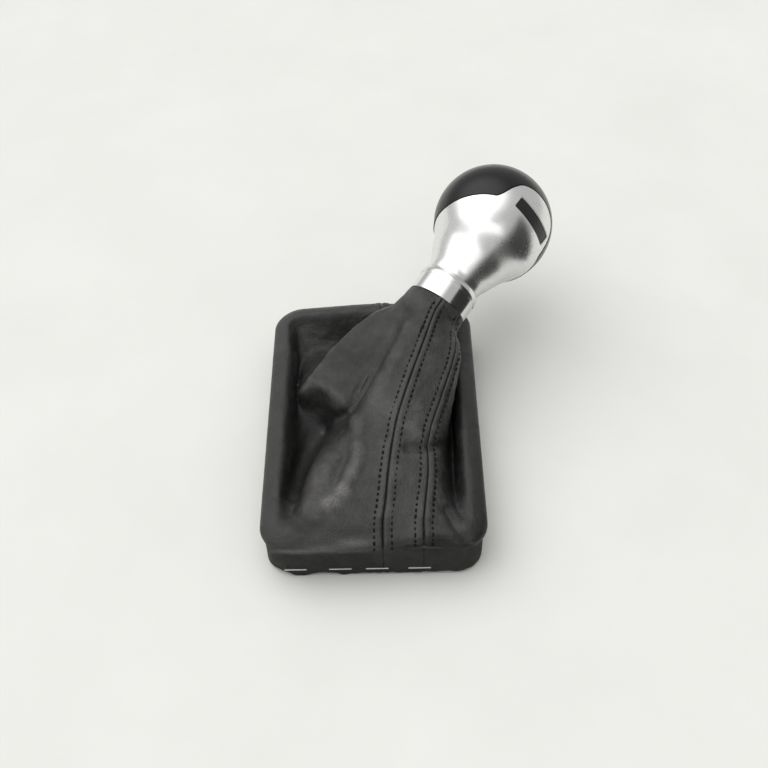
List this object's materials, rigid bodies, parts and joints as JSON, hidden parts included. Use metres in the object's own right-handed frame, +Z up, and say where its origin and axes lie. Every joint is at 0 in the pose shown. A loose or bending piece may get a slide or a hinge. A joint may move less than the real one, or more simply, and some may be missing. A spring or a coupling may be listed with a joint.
{
  "type": "gear lever trim",
  "caption": "Gear lever knob with a pleated leather gaiter stapled to a rounded rectangular frame, the knob lying back over one corner of the rim, with a sprung release button.",
  "frame": {"origin": "middle of the gaiter frame's outline, on the plane that the frame stands on", "axes": "+Y along the frame's long side towards the end that the knob leans over, +X to the right seen from the front, +Z up out of the console"},
  "size_m": [0.1297, 0.1801, 0.0844],
  "materials": {
    "shell_satin": "satin plated",
    "collar_chrome": "polished",
    "cap_black": "gloss",
    "badge_black": "gloss",
    "button_black": "satin",
    "core_plastic": "moulded",
    "frame_plastic": "moulded",
    "gaiter_leather": "fine grain",
    "wire_steel": "bright drawn wire"
  },
  "bodies": {
    "trim": {"gaiter_frame": "frame_plastic", "gaiter_left_panel": "gaiter_leather", "gaiter_front_strip": "gaiter_leather", "gaiter_right_panel": "gaiter_leather", "staples_front": "wire_steel", "staples_left": "wire_steel", "staples_right": "wire_steel", "staples_rear": "wire_steel", "knob_shell": "shell_satin", "top_cap": "cap_black", "badge_frame": "shell_satin", "badge_plate": "badge_black", "button_spring": "wire_steel", "knob_core": "core_plastic", "neck_ring": "shell_satin", "trim_collar": "collar_chrome", "gaiter_ring": "core_plastic", "neck_clamp": "wire_steel"},
    "button": {"release_button": "button_black"}
  },
  "joints": [
    {"name": "button_press", "type": "slide", "parent": "trim", "child": "button", "axis": [0.502, -0.6716, 0.545], "range_m": [0, 0.004], "stiffness_N_per_m": 500, "deforming": ["button_spring"]}
  ]
}
